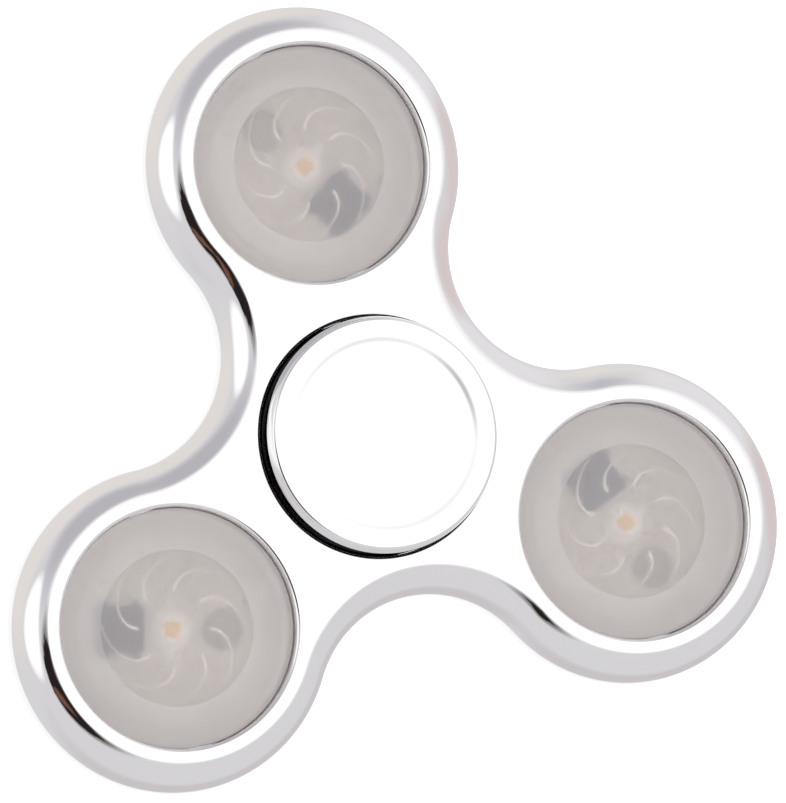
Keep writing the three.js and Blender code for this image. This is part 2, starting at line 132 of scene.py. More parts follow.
def rounded(points, steps=6):
    """A profile of (r, z) from (r, z, fillet) corners: each corner with a fillet becomes an arc."""
    out = []
    count = len(points)
    for i, point in enumerate(points):
        here = Vector(point[:2])
        fillet = point[2] if len(point) > 2 else 0
        if not fillet or i in (0, count - 1):
            out.append(tuple(here))
            continue
        before = (Vector(points[i - 1][:2]) - here).normalized()
        after = (Vector(points[i + 1][:2]) - here).normalized()
        half = before.angle(after) / 2
        reach = fillet / math.tan(half)
        centre = here + (before + after).normalized() * (fillet / math.sin(half))
        start = here + before * reach - centre
        end = here + after * reach - centre
        turn = start.angle_signed(end)
        for k in range(steps + 1):
            out.append(tuple(centre + Matrix.Rotation(-turn * k / steps, 2) @ start))
    return out


def lathe(name, profile, segments=ROUND):
    """Turns an (r, z) profile, outer wall going up, about Z. It starts and ends on the axis or closes."""
    closed = (Vector(profile[0]) - Vector(profile[-1])).length < 1e-6
    profile = profile[:-1] if closed else profile
    vertices, rings = [], []
    for radius, z in profile:
        if radius < 1e-6:
            rings.append([len(vertices)])
            vertices.append((0, 0, z))
            continue
        rings.append(list(range(len(vertices), len(vertices) + segments)))
        for k in range(segments):
            vertices.append((*polar(radius, 360 * k / segments), z))
    faces = []
    pairs = list(zip(rings, rings[1:] + rings[:1])) if closed else list(zip(rings, rings[1:]))
    for low, high in pairs:
        for k in range(segments):
            n = (k + 1) % segments
            if len(low) == 1:
                faces.append((low[0], high[n], high[k]))
            elif len(high) == 1:
                faces.append((low[k], low[n], high[0]))
            else:
                faces.append((low[k], low[n], high[n], high[k]))
    return new_object(name, vertices, faces)


def prism(name, outline, bottom, top, holes=(), bevel=0.0):
    """An upright solid over a counter-clockwise outline, with holes, its edges rounded by bevel."""
    loops = [list(outline)] + [list(hole) for hole in holes]
    flat = [Vector((x, y, 0)) for loop in loops for x, y in loop]
    count = len(flat)
    vertices = [(v.x, v.y, bottom) for v in flat] + [(v.x, v.y, top) for v in flat]
    faces = []
    for triangle in tessellate_polygon([[Vector((x, y, 0)) for x, y in loop] for loop in loops]):
        a, b, c = triangle
        if (flat[b] - flat[a]).cross(flat[c] - flat[a]).z < 0:
            b, c = c, b
        faces.append((c, b, a))
        faces.append((a + count, b + count, c + count))
    start = 0
    for number, loop in enumerate(loops):
        size = len(loop)
        signed = sum(p[0] * q[1] - q[0] * p[1] for p, q in zip(loop, loop[1:] + loop[:1]))
        forward = (signed > 0) == (number == 0)
        for k in range(size):
            here, there = start + k, start + (k + 1) % size
            if not forward:
                here, there = there, here
            faces.append((here, there, there + count, here + count))
        start += size
    thing = new_object(name, vertices, faces)
    if bevel:
        round_edges(thing, bevel)
    return thing


def round_edges(thing, width):
    modifier = thing.modifiers.new("rounded edges", "BEVEL")
    modifier.width = width * MM
    modifier.segments = 2
    modifier.limit_method = "ANGLE"
    modifier.angle_limit = math.radians(SHARP_ANGLE)
    modifier.harden_normals = True


def circle(radius, centre, segments):
    points = (polar(radius, 360 * k / segments) for k in range(segments))
    return [(centre[0] + x, centre[1] + y) for x, y in points]


def rounded_rectangle(width, height, corner, centre=(0, 0), steps=5):
    out = []
    for quarter, (sx, sy) in enumerate(((1, 1), (-1, 1), (-1, -1), (1, -1))):
        cx = centre[0] + sx * (width / 2 - corner)
        cy = centre[1] + sy * (height / 2 - corner)
        for k in range(steps + 1):
            x, y = polar(corner, 90 * quarter + 90 * k / steps)
            out.append((cx + x, cy + y))
    return out


def turn_over(piece):
    """Turns a piece that was made facing up to face down, about the middle plane."""
    over = Matrix.Translation((0, 0, MIDDLE * MM)) @ Matrix.Rotation(math.pi, 4, "X")
    piece.data.transform(over @ Matrix.Translation((0, 0, -MIDDLE * MM)))


def join(name, pieces):
    """Joins mesh objects into the first one."""
    first = pieces[0]
    with bpy.context.temp_override(active_object=first, selected_editable_objects=pieces):
        bpy.ops.object.join()
    first.name = name
    return first


def cut(thing, cutter):
    """Cuts one mesh from another and keeps the result as plain mesh."""
    modifier = thing.modifiers.new("cut", "BOOLEAN")
    modifier.object = cutter
    modifier.operation = "DIFFERENCE"
    modifier.solver = "EXACT"
    depsgraph = bpy.context.evaluated_depsgraph_get()
    result = bpy.data.meshes.new_from_object(thing.evaluated_get(depsgraph))
    thing.modifiers.remove(modifier)
    old = thing.data
    thing.data = result
    bpy.data.meshes.remove(old)
    bpy.data.objects.remove(cutter)
    thing.data.shade_smooth()
    thing.data.set_sharp_from_angle(angle=math.radians(SHARP_ANGLE))


# ---------------------------------------------------------------- materials


RAMP_START, RAMP_STOP = 0.35, 0.65  # the part of a noise factor over which two values blend


class Nodes:
    """Short calls for building one material's node tree."""

    def __init__(self, name):
        self.material = bpy.data.materials.new(name)
        self.material.use_nodes = True
        self.tree = self.material.node_tree
        self.shader = self.tree.nodes["Principled BSDF"]
        self.coordinates = self.tree.nodes.new("ShaderNodeTexCoord")

    def add(self, kind):
        return self.tree.nodes.new(kind)

    def link(self, source, target):
        self.tree.links.new(source, target)

    def noise(self, scale, detail=3.0, roughness=0.5, stretch=(1, 1, 1)):
        mapping = self.add("ShaderNodeMapping")
        mapping.inputs["Scale"].default_value = stretch
        self.link(self.coordinates.outputs["Object"], mapping.inputs["Vector"])
        noise = self.add("ShaderNodeTexNoise")
        noise.inputs["Scale"].default_value = scale
        noise.inputs["Detail"].default_value = detail
        noise.inputs["Roughness"].default_value = roughness
        self.link(mapping.outputs["Vector"], noise.inputs["Vector"])
        return noise.outputs["Fac"]

    def ramp(self, source, low, high):
        """Colours (or greys) between two values of a factor."""
        ramp = self.add("ShaderNodeValToRGB")
        ramp.color_ramp.elements[0].position = RAMP_START
        ramp.color_ramp.elements[0].color = shade(low)
        ramp.color_ramp.elements[1].position = RAMP_STOP
        ramp.color_ramp.elements[1].color = shade(high)
        self.link(source, ramp.inputs["Fac"])
        return ramp.outputs["Color"]

    def bump(self, height, strength, distance):
        bump = self.add("ShaderNodeBump")
        bump.inputs["Strength"].default_value = strength
        bump.inputs["Distance"].default_value = distance * MM
        self.link(height, bump.inputs["Height"])
        self.link(bump.outputs["Normal"], self.shader.inputs["Normal"])

    def set(self, **values):
        for key, value in values.items():
            self.shader.inputs[key.replace("_", " ")].default_value = value


def shade(value):
    if isinstance(value, (int, float)):
        return (value, value, value, 1)
    return (*value, 1)


def chrome_material(name, colour):
    """Plated surface: mirror bright, with faint orange peel and finger haze."""
    m = Nodes(name)
    m.set(Metallic=1.0)
    tint = m.noise(60, 2)
    m.link(m.ramp(tint, tuple(c * 0.985 for c in colour), colour), m.shader.inputs["Base Color"])
    haze = m.noise(140, 4, 0.6)
    m.link(m.ramp(haze, 0.025, 0.06), m.shader.inputs["Roughness"])
    m.bump(m.noise(450, 2), 0.05, 0.02)
    return m.material


def plastic_material(name, dark, light, rough=(0.4, 0.5), painted_glow=0.0):
    """Moulded plastic: slight mottling and a fine spark-eroded grain. Its emission is a painted glow on a
    part that is no lamp.
    """
    m = Nodes(name)
    # Emission here is a painted glow, not a lamp.
    m.set(Emission_Color=(*light, 1), Emission_Strength=painted_glow)
    m.link(m.ramp(m.noise(120, 3), dark, light), m.shader.inputs["Base Color"])
    m.link(m.ramp(m.noise(300, 3), rough[0], rough[1]), m.shader.inputs["Roughness"])
    m.bump(m.noise(900, 2), 0.25, 0.01)
    return m.material


def steel_material(name, colour, rough=(0.16, 0.28)):
    """Ground steel: fine turned lines."""
    m = Nodes(name)
    m.set(Metallic=1.0)
    m.link(m.ramp(m.noise(80, 3), tuple(c * 0.92 for c in colour), colour), m.shader.inputs["Base Color"])
    lines = m.noise(700, 3, 0.6, (1, 1, 14))
    m.link(m.ramp(lines, rough[0], rough[1]), m.shader.inputs["Roughness"])
    m.bump(lines, 0.12, 0.01)
    return m.material


def lens_material(name, haze, clear, tint):
    """Milky plastic that lets the light, switch and vanes show through softly."""
    m = Nodes(name)
    m.set(IOR=1.3, Transmission_Weight=clear)
    m.link(m.ramp(m.noise(90, 3), tuple(c * 0.97 for c in tint), tint), m.shader.inputs["Base Color"])
    m.link(m.ramp(m.noise(500, 3), haze, haze + 0.05), m.shader.inputs["Roughness"])
    m.bump(m.noise(1500, 2), 0.12, 0.01)
    return m.material


def board_material():
    m = Nodes("board_white_mask")
    m.link(m.ramp(m.noise(200, 3), (0.62, 0.60, 0.57), (0.70, 0.68, 0.65)), m.shader.inputs["Base Color"])
    m.link(m.ramp(m.noise(900, 2), 0.3, 0.42), m.shader.inputs["Roughness"])
    weave = m.add("ShaderNodeTexWave")
    weave.inputs["Scale"].default_value = 900
    weave.inputs["Distortion"].default_value = 1.0
    m.link(m.coordinates.outputs["Object"], weave.inputs["Vector"])
    m.bump(weave.outputs["Fac"], 0.08, 0.01)
    return m.material


def led_material(name, low, high, painted_glow):
    m = Nodes(name)
    # Emission here is a painted glow: the light is switched off, and its phosphor gets none.
    m.set(IOR=1.5, Emission_Color=(*high, 1), Emission_Strength=painted_glow)
    m.link(m.ramp(m.noise(500, 2), low, high), m.shader.inputs["Base Color"])
    m.link(m.ramp(m.noise(900, 2), 0.1, 0.2), m.shader.inputs["Roughness"])
    return m.material


MATERIALS = {
    "body_chrome": chrome_material("body_chrome", (0.95, 0.945, 0.95)),
    "cap_chrome": chrome_material("cap_chrome", (0.955, 0.955, 0.955)),
    "bearing_steel": steel_material("bearing_steel", (0.6, 0.6, 0.61)),
    # Outer race coloured near black: painted shade standing in for the shadowed gap round the caps.
    "bearing_black": steel_material("bearing_black", (0.028, 0.026, 0.025)),
    "cage_nylon": plastic_material("cage_nylon", (0.62, 0.56, 0.42), (0.7, 0.64, 0.5)),
    "seal_rubber": plastic_material("seal_rubber", (0.012, 0.012, 0.012), (0.02, 0.02, 0.02), (0.55, 0.7)),
    "lens_plastic": lens_material("lens_plastic", 0.52, 0.66, (0.945, 0.9, 0.875)),
    "lens_rim": lens_material("lens_rim", 0.5, 0.52, (0.915, 0.875, 0.858)),
    "lens_inside": lens_material("lens_inside", 0.05, 1.0, (0.98, 0.97, 0.96)),
    # The vanes carry a painted glow: emission paints the thin light lines seen in them through the lens.
    "lens_vane": plastic_material("lens_vane", (0.88, 0.87, 0.85), (0.95, 0.94, 0.92), painted_glow=0.11),
    "housing_plastic": plastic_material("housing_plastic", (0.72, 0.70, 0.67), (0.78, 0.76, 0.73)),
    "circuit_board": board_material(),
    # The resin's faint emission is a painted glow on an unlit light.
    "led_resin": led_material("led_resin", (0.9, 0.87, 0.83), (0.95, 0.93, 0.89), 0.06),
    "led_phosphor": led_material("led_phosphor", (0.93, 0.58, 0.2), (0.97, 0.66, 0.26), 0.0),
    "switch_plastic": plastic_material(
        "switch_plastic", (0.018, 0.035, 0.10), (0.026, 0.046, 0.125), (0.45, 0.6)
    ),
    "chip_resin": plastic_material("chip_resin", (0.33, 0.32, 0.305), (0.38, 0.37, 0.355), (0.35, 0.5)),
    "cell_steel": steel_material("cell_steel", (0.66, 0.66, 0.67)),
    "contact_brass": steel_material("contact_brass", (0.72, 0.55, 0.24)),
    "screw_steel": steel_material("screw_steel", (0.5, 0.5, 0.52)),
    "solder": steel_material("solder", (0.6, 0.6, 0.6), (0.4, 0.55)),
}

# ---------------------------------------------------------------- finishing a piece


def finish_piece(piece, body, slot, node=None, looks=None):
    indices = [face.material_index for face in piece.data.polygons]
    piece.data.materials.clear()
    for name in looks or [slot]:
        piece.data.materials.append(MATERIALS[name])
    piece.data.polygons.foreach_set("material_index", indices)
    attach(piece, body)
    if node:
        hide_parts(node)


# ---------------------------------------------------------------- body


def arc_points(centre, radius, start, end, count):
    """Points and outward directions of an arc in degrees, without its last point."""
    for k in range(count):
        degrees = start + (end - start) * k / count
        direction = polar(1, degrees)
        yield (centre[0] + radius * direction[0], centre[1] + radius * direction[1]), direction


def body_outline():
    """The tri-lobe outline at the middle plane, as (point, outward normal) pairs, counter-clockwise."""
    lobe_steps, waist_steps = 120, 64
    difference = LOBE_RADIUS - WAIST_DISTANCE
    waist_centre = (LOBE_DISTANCE**2 - difference**2) / (LOBE_DISTANCE + 2 * difference)
    waist_radius = waist_centre - WAIST_DISTANCE
    to_waist = math.degrees(
        math.atan2(
            waist_centre * math.sin(math.radians(60)),
            waist_centre * math.cos(math.radians(60)) - LOBE_DISTANCE,
        )
    )
    out = []
    for angle, _ in LOBES.values():
        centre = polar(LOBE_DISTANCE, angle)
        out += arc_points(centre, LOBE_RADIUS, angle - to_waist, angle + to_waist, lobe_steps)
        waist = polar(waist_centre, angle + 60)
        start = angle + to_waist + 180
        end = angle + 120 - to_waist + 180
        for point, direction in arc_points(waist, waist_radius, start, end, waist_steps):
            out.append((point, (-direction[0], -direction[1])))
    return out


def make_body():
    """The shell: a flat face pierced by four bores, and a fully rounded side (half an ellipse in section)."""
    outline = body_outline()
    rise = (BODY_TOP - BODY_BOTTOM) / 2
    side_steps = 60
    vertices, normals, faces = [], [], []

    def add_ring(points, ring_normals):
        start = len(vertices)
        vertices.extend(points)
        normals.extend(ring_normals)
        return list(range(start, start + len(points)))

    def bridge(upper, lower):
        size = len(upper)
        for k in range(size):
            n = (k + 1) % size
            faces.append((upper[k], lower[k], lower[n], upper[n]))

    rings = []
    for step in range(side_steps + 1):
        turn = math.pi * step / side_steps
        inset = EDGE_INSET * (1 - math.sin(turn))
        z = MIDDLE + rise * math.cos(turn)
        across, up = math.sin(turn) / EDGE_INSET, math.cos(turn) / rise
        length = math.hypot(across, up)
        points = [(p[0] - n[0] * inset, p[1] - n[1] * inset, z) for p, n in outline]
        ring_normals = [(n[0] * across / length, n[1] * across / length, up / length) for _, n in outline]
        rings.append(add_ring(points, ring_normals))
    for upper, lower in zip(rings, rings[1:]):
        bridge(upper, lower)

    bore_rims = []
    fillet_steps = 8
    for centre in [(0, 0)] + [polar(LOBE_DISTANCE, angle) for angle, _ in LOBES.values()]:
        sections = []
        for k in range(fillet_steps + 1):
            turn = math.pi / 2 * k / fillet_steps
            radius = BORE_RADIUS + BORE_FILLET * (1 - math.sin(turn))
            drop = BORE_FILLET * (1 - math.cos(turn))
            sections.append((radius, BODY_TOP - drop, -math.sin(turn), math.cos(turn)))
        sections += [(r, BODY_TOP + BODY_BOTTOM - z, inward, -up) for r, z, inward, up in reversed(sections)]
        bore = []
        for radius, z, inward, up in sections:
            directions = [polar(1, 360 * k / ROUND) for k in range(ROUND)]
            points = [(centre[0] + x * radius, centre[1] + y * radius, z) for x, y in directions]
            bore.append(add_ring(points, [(x * inward, y * inward, up) for x, y in directions]))
        for upper, lower in zip(bore, bore[1:]):
            bridge(lower, upper)
        bore_rims.append((bore[0], bore[-1]))

    for is_top in (True, False):
        loops = [rings[0] if is_top else rings[-1]] + [rim[0 if is_top else 1] for rim in bore_rims]
        index = [i for loop in loops for i in loop]
        flat = [[Vector((vertices[i][0], vertices[i][1], 0)) for i in loop] for loop in loops]
        for triangle in tessellate_polygon(flat):
            a, b, c = (index[i] for i in triangle)
            va, vb, vc = (Vector(vertices[i]) for i in (a, b, c))
            upward = (vb - va).cross(vc - va).z > 0
            faces.append((a, b, c) if upward == is_top else (a, c, b))
    body = new_object("frame_shell", vertices, faces, 180)
    body.data.normals_split_custom_set_from_vertices(normals)
    finish_piece(body, "rotor", "body_chrome", "frame_body")


# ---------------------------------------------------------------- caps

CAP_SEGMENTS = 192
CAP_BOSS = 5.85
CAP_BOSS_HEIGHT = 0.5
CAP_STEM = 3.95
CAP_PIN = 2.0
CAP_SOCKET = 2.1
PIN_TOP = 9.15
SOCKET_TOP = 9.55
TOUCH = 0.05  # kept between pieces that touch
CAP_RADIUS = 10.66  # at the rim; the side leans out to the skirt
CAP_EDGE = 0.3
SKIRT_HEIGHT = 1.15  # rim down to the skirt's lower edge
CAP_THICKNESS = 1.35
CAP_UNDERSIDE_RADIUS = 10.65
RIM_INNER = 9.3
DISH_RADIUS = 8.1
DISH_DEPTH = 0.1
DISH_FLOOR_RING = 4.0  # a ring of points that keeps the dish floor flat


def cap_profile(stem):
    """Profile of a cap that faces up, from its stem's tip, out round the side and in over the dish."""
    shoulder = RACE_TOP + TOUCH
    side = rounded(
        stem
        + [
            (CAP_STEM, shoulder, 0.1),
            (CAP_BOSS, shoulder, 0.1),
            (CAP_BOSS, shoulder + CAP_BOSS_HEIGHT, 0.1),
            (CAP_UNDERSIDE_RADIUS, CAP_TOP - CAP_THICKNESS, 0.1),
            (CAP_SKIRT, CAP_TOP - SKIRT_HEIGHT, 0.05),
            (CAP_RADIUS, CAP_TOP, CAP_EDGE),
            (RIM_INNER, CAP_TOP),
        ],
        8,
    )
    steps = 12
    slope = []
    for k in range(1, steps + 1):
        share = k / steps
        fall = share * share * (3 - 2 * share)
        slope.append((RIM_INNER + (DISH_RADIUS - RIM_INNER) * share, CAP_TOP - DISH_DEPTH * fall))
    return side + slope + [(DISH_FLOOR_RING, CAP_TOP - DISH_DEPTH), (0, CAP_TOP - DISH_DEPTH)]


def make_caps():
    foot = MIDDLE + TOUCH
    socket = [(0, SOCKET_TOP), (CAP_SOCKET, SOCKET_TOP), (CAP_SOCKET, foot), (CAP_STEM, foot)]
    front = lathe("front_cap_shell", cap_profile(socket), CAP_SEGMENTS)
    finish_piece(front, "hub", "cap_chrome", "front_cap")
    tip = 2 * MIDDLE - PIN_TOP
    pin = [(0, tip), (CAP_PIN, tip), (CAP_PIN, foot), (CAP_STEM, foot)]
    rear = lathe("rear_cap_shell", cap_profile(pin), CAP_SEGMENTS)
    turn_over(rear)
    finish_piece(rear, "hub", "cap_chrome", "rear_cap")


# ---------------------------------------------------------------- bearing

RACE_RADIUS = 11.0
RACE_BORE_RADIUS = 4.0
INNER_FACE_RADIUS = 5.0  # on the inner race's lower face, where its profile starts
PITCH_RADIUS = 7.5
BALL_RADIUS = 3.969 / 2
GROOVE_RADIUS = BALL_RADIUS + 0.1
BALL_COUNT = 7
INNER_SHOULDER = 6.05
OUTER_SHOULDER = 9.1
SEAL_SEAT = 9.85
SEAL_SEAT_DEPTH = 0.75
CAGE_OUTER, CAGE_INNER = 8.4, 6.6
CAGE_BELOW, CAGE_ABOVE = 2.4, 1.1  # the cage's reach from the middle plane
POCKET_PLAY = 0.14


def groove(shoulder, side):
    """Arc of a race's groove: side +1 for the outer race, read downwards, -1 for the inner, read upwards."""
    half = math.degrees(math.acos(abs(shoulder - PITCH_RADIUS) / GROOVE_RADIUS))
    steps = 12
    middle = 0 if side > 0 else 180
    out = []
    for k in range(steps + 1):
        x, y = polar(GROOVE_RADIUS, middle + half - 2 * half * k / steps)
        out.append((PITCH_RADIUS + x, MIDDLE + y))
    return out


def make_bearing():
    outer = rounded(
        [
            (RACE_RADIUS, MIDDLE),
            (RACE_RADIUS, RACE_TOP, 0.3),
            (SEAL_SEAT, RACE_TOP, 0.08),
            (SEAL_SEAT, RACE_TOP - SEAL_SEAT_DEPTH),
            (OUTER_SHOULDER, RACE_TOP - SEAL_SEAT_DEPTH, 0.08),
            *groove(OUTER_SHOULDER, 1),
            (OUTER_SHOULDER, RACE_BOTTOM + SEAL_SEAT_DEPTH, 0.08),
            (SEAL_SEAT, RACE_BOTTOM + SEAL_SEAT_DEPTH),
            (SEAL_SEAT, RACE_BOTTOM, 0.08),
            (RACE_RADIUS, RACE_BOTTOM, 0.3),
            (RACE_RADIUS, MIDDLE),
        ],
        4,
    )
    # The outer race takes the near-black material, painted shade for the dark gap round the caps.
    finish_piece(lathe("outer_race_ring", outer), "rotor", "bearing_black", "bearing_outer_race")
    inner = rounded(
        [
            (INNER_FACE_RADIUS, RACE_BOTTOM),
            (INNER_SHOULDER, RACE_BOTTOM, 0.15),
            *groove(INNER_SHOULDER, -1),
            (INNER_SHOULDER, RACE_TOP, 0.15),
            (RACE_BORE_RADIUS, RACE_TOP, 0.2),
            (RACE_BORE_RADIUS, RACE_BOTTOM, 0.2),
            (INNER_FACE_RADIUS, RACE_BOTTOM),
        ],
        4,
    )
    finish_piece(lathe("inner_race_ring", inner, 96), "hub", "bearing_steel", "bearing_inner_race")
    for is_front, name in ((True, "front"), (False, "rear")):
        finish_piece(make_seal(is_front, name), "rotor", "seal_rubber", f"bearing_seal_{name}")
    low, high = MIDDLE - CAGE_BELOW, MIDDLE + CAGE_ABOVE
    ring = [(CAGE_OUTER, low), (CAGE_OUTER, high), (CAGE_INNER, high), (CAGE_INNER, low), (CAGE_OUTER, low)]
    cage = lathe("crown_cage", ring, 112)
    for k in range(BALL_COUNT):
        x, y = polar(PITCH_RADIUS, 90 + 360 * k / BALL_COUNT)
        cut(cage, ball(f"pocket_{k}", BALL_RADIUS + POCKET_PLAY, (x, y, MIDDLE), 32, 16))
    finish_piece(cage, "ball_cage", "cage_nylon", "bearing_cage")
    for k in range(BALL_COUNT):
        x, y = polar(PITCH_RADIUS, 90 + 360 * k / BALL_COUNT)
        steel_ball = ball(f"ball_{k + 1}_sphere", BALL_RADIUS, (x, y, MIDDLE), 40, 20)
        finish_piece(steel_ball, f"ball_{k + 1}", "bearing_steel", f"bearing_ball_{k + 1}")


def ball(name, radius, centre, segments, rings):
    profile = [(0, -radius)]
    profile += [polar(radius, -90 + 180 * k / rings) for k in range(1, rings)]
    profile.append((0, radius))
    sphere = lathe(name, profile, segments)
    sphere.data.transform(Matrix.Translation(Vector(centre) * MM))
    return sphere


def make_seal(is_front, name):
    """A rubber lip seal with a shallow ring groove pressed in its face."""
    recess, thickness = 0.25, 0.4
    face = RACE_TOP - recess
    groove_floor = face - 0.14
    lip = INNER_SHOULDER + 0.12
    seal = rounded(
        [
            (8.0, face - thickness),
            (SEAL_SEAT - TOUCH, face - thickness, 0.06),
            (SEAL_SEAT - TOUCH, face, 0.08),
            (9.2, face, 0.06),
            (9.0, groove_floor, 0.06),
            (7.0, groove_floor, 0.06),
            (6.8, face, 0.06),
            (lip, face, 0.08),
            (lip, face - thickness, 0.06),
            (8.0, face - thickness),
        ],
        4,
    )
    ring = lathe(f"lip_seal_{name}", seal)
    if not is_front:
        turn_over(ring)
    return ring


# ---------------------------------------------------------------- light modules, built about their own axis

LENS_LOOKS = ["lens_plastic", "lens_inside", "lens_vane", "lens_rim"]
WINDOW, UNDERSIDE, VANES, RIM = range(len(LENS_LOOKS))
LENS_RADIUS = 11.0
LENS_EDGE = 0.12
WINDOW_RADIUS = 7.2  # clearer middle of the lens
LENS_THICKNESS = 1.1
LENS_UNDER = LENS_TOP - LENS_THICKNESS
SKIRT_OUTER, SKIRT_INNER, SKIRT_DROP = 10.1, 9.3, 1.0
VANE_COUNT = 8
VANE_INNER, VANE_OUTER = 3.4, 6.9
VANE_WIDTH, VANE_DROP = 0.26, 0.38
VANE_SWEEP = -48.0  # clockwise outwards, seen from the front
SWITCH_DISTANCE = 4.8
SWITCH_SIDE = 4.3
SWITCH_HEIGHT = 0.8
SWITCH_LEG = 1.5  # a leg's distance from the switch's centre line
PART_SEAT = BOARD_TOP + 0.02  # top of the copper, where the board's parts sit
CONTROLLER_DISTANCE = 5.0
SCREW_DISTANCE = 9.2


def vane(start_degrees):
    """Outline of one curved blade, which narrows outwards."""
    steps = 14
    near, far = [], []
    for k in range(steps + 1):
        share = k / steps
        radius = VANE_INNER + (VANE_OUTER - VANE_INNER) * share
        turn = start_degrees + VANE_SWEEP * share * share
        taper = 1 - 0.5 * share
        across = math.degrees(VANE_WIDTH / 2 * taper / radius)
        near.append(polar(radius, turn - across))
        far.append(polar(radius, turn + across))
    return near + far[::-1]


def make_lens(letter):
    """The pressed cover: a clearer window, a milkier rim and skirt, and curved vanes under the window."""
    profile = rounded(
        [
            (0, LENS_UNDER),
            (SKIRT_INNER, LENS_UNDER, 0.15),
            (SKIRT_INNER, LENS_UNDER - SKIRT_DROP, 0.1),
            (SKIRT_OUTER, LENS_UNDER - SKIRT_DROP, 0.1),
            (SKIRT_OUTER, LENS_UNDER, 0.05),
            (LENS_RADIUS, LENS_UNDER, 0.08),
            (LENS_RADIUS, LENS_TOP, LENS_EDGE),
            (WINDOW_RADIUS, LENS_TOP),
            (0, LENS_TOP),
        ]
    )
    pieces = [lathe(f"lens_cover_{letter}", profile)]
    for k in range(VANE_COUNT):
        outline = vane(360 * k / VANE_COUNT)
        pieces.append(prism(f"vane_{k}", outline, LENS_UNDER - VANE_DROP, LENS_UNDER - TOUCH))
    cover = join(f"lens_cover_{letter}", pieces)
    for look in LENS_LOOKS:
        cover.data.materials.append(MATERIALS[look])
    for face in cover.data.polygons:
        x, y, z = face.center / MM
        radius = math.hypot(x, y)
        if z < LENS_UNDER - TOUCH / 2:
            face.material_index = VANES if radius < WINDOW_RADIUS else RIM
        elif z < LENS_UNDER + TOUCH:
            face.material_index = UNDERSIDE
        else:
            face.material_index = WINDOW if radius < WINDOW_RADIUS else RIM
    return cover


def make_housing(letter):
    """The module's cup: a ledge for the board, a well for the cell and a seat for the door."""
    outer, inner, cell, door = 10.98, 10.2, 8.15, 10.4
    ledge, door_ledge = 6.2, 4.0
    profile = rounded(
        [
            (outer, MIDDLE),
            (outer, HOUSING_TOP, 0.15),
            (inner, HOUSING_TOP, 0.15),
            (inner, ledge),
            (cell, ledge, 0.1),
            (cell, door_ledge, 0.1),
            (door, door_ledge),
            (door, HOUSING_BOTTOM, 0.08),
            (outer, HOUSING_BOTTOM, 0.15),
            (outer, MIDDLE),
        ],
        4,
    )
    return lathe(f"housing_cup_{letter}", profile)


def make_board(letter):
    """The round board, with a locating notch in its rim and a few plated holes."""
    radius, notch = 10.1, 1.2
    half = math.degrees(math.asin(notch / radius))
    steps = 120
    rim = [polar(radius, -180 + half + (360 - 2 * half) * k / steps) for k in range(steps + 1)]
    outline = rim + [(-radius + notch, notch), (-radius + notch, -notch)]
    via_radius, via_ring = 0.2, 7.6
    via_holes = [circle(via_radius, polar(via_ring, angle), 16) for angle in (35, 80, 200, 290, 325)]
    return prism(f"printed_board_{letter}", outline, BOARD_BOTTOM, BOARD_TOP, via_holes, bevel=0.03)


def make_pads(letter):
    """Solder pads of the light and of the switch's four legs."""
    pieces = []
    for side in (-1, 1):
        pad = rounded_rectangle(0.9, 1.2, 0.15, (0, side * 2.3))
        pieces.append(prism(f"pad_led_{side}", pad, BOARD_TOP - 0.01, PART_SEAT))
        for other in (-1, 1):
            centre = (SWITCH_DISTANCE + other * SWITCH_LEG, side * (SWITCH_SIDE / 2 + 0.45))
            pad = rounded_rectangle(0.7, 0.7, 0.1, centre)
            pieces.append(prism(f"pad_switch_{side}_{other}", pad, BOARD_TOP - 0.01, PART_SEAT + 0.1))
    return join(f"solder_pads_{letter}", pieces)


def make_led(letter):
    """The light: a flanged resin body with a rounded top."""
    flange, flange_height, body = 1.9, 0.22, 1.5
    seat = PART_SEAT
    top = seat + 0.98
    dome = rounded(
        [
            (0, seat),
            (flange, seat, 0.05),
            (flange, seat + flange_height, 0.08),
            (body, seat + flange_height, 0.05),
            (body, top, 0.35),
            (0, top),
        ]
    )
    return lathe(f"led_dome_{letter}", dome, 64)


def make_die(letter):
    """The phosphor patch on top of the light."""
    side, thickness = 1.5, 0.06
    seat = BOARD_TOP + 1.0
    die = rounded_rectangle(side, side, 0.35)
    return prism(f"led_die_{letter}", die, seat, seat + thickness, bevel=0.02)


def make_switch(letter):
    """The tact switch: a square case in two halves, with a round well for its plunger, and four legs."""
    half = SWITCH_SIDE / 2
    outline = rounded_rectangle(SWITCH_SIDE, SWITCH_SIDE, 0.35, (SWITCH_DISTANCE, 0))
    seat = PART_SEAT
    top = seat + SWITCH_HEIGHT
    split = top - 0.52
    well = circle(1.15, (SWITCH_DISTANCE, 0), 32)
    lower = prism(f"switch_base_{letter}", outline, seat, split, bevel=0.04)
    upper = prism(f"switch_top_{letter}", outline, split, top, [well], bevel=0.05)
    legs = []
    for side in (-1, 1):
        for other in (-1, 1):
            centre = (SWITCH_DISTANCE + other * SWITCH_LEG, side * (half + 0.3))
            leg = rounded_rectangle(0.5, 0.7, 0.08, centre)
            legs.append(prism(f"leg_{side}_{other}", leg, seat + 0.12, seat + 0.26))
    return join(f"switch_case_{letter}", [lower, upper] + legs)


def make_plunger(letter):
    """The switch's button, with a shallow dimple in its top."""
    radius, dimple, dimple_floor = 1.0, 0.45, 0.4
    floor = PLUNGER_TOP - 0.05
    profile = rounded(
        [
            (0, PLUNGER_BOTTOM),
            (radius, PLUNGER_BOTTOM, 0.05),
            (radius, PLUNGER_TOP, 0.2),
            (dimple, PLUNGER_TOP, 0.05),
            (dimple_floor, floor, 0.03),
            (0, floor),
        ]
    )
    button = lathe(f"plunger_button_{letter}", profile, 48)
    button.data.transform(Matrix.Translation((SWITCH_DISTANCE * MM, 0, 0)))
    return button


